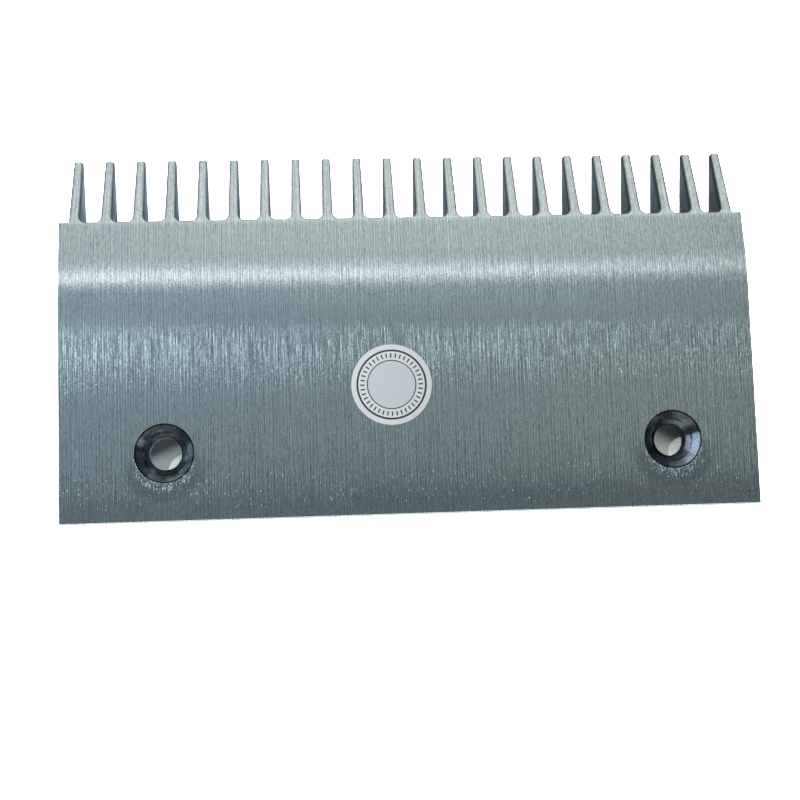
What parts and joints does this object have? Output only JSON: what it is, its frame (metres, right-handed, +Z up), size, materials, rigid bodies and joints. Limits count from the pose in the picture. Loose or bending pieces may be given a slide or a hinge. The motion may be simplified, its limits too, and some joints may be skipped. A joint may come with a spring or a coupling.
{
  "type": "escalator comb plate",
  "caption": "Flat aluminium plate with a shallow ramp along its front edge that ends in a row of sloping, tapered teeth. It fills the gap between moving steps and a landing.",
  "frame": {"origin": "under the middle of the plate, at the centre of its bounding box in X and Y, level with the underside of the ribs", "axes": "+X along the width, to the right as seen from the tread face with the teeth away; +Y from the rear edge towards the teeth; +Z up, out of the tread face"},
  "size_m": [0.1988, 0.1064, 0.016],
  "materials": {
    "brushed_aluminium": "tread face brushed front to back, sides and underside as cast",
    "label_paper": "matt"
  },
  "bodies": {
    "root": {"comb_plate": "brushed_aluminium", "round_label": "label_paper"}
  },
  "joints": []
}
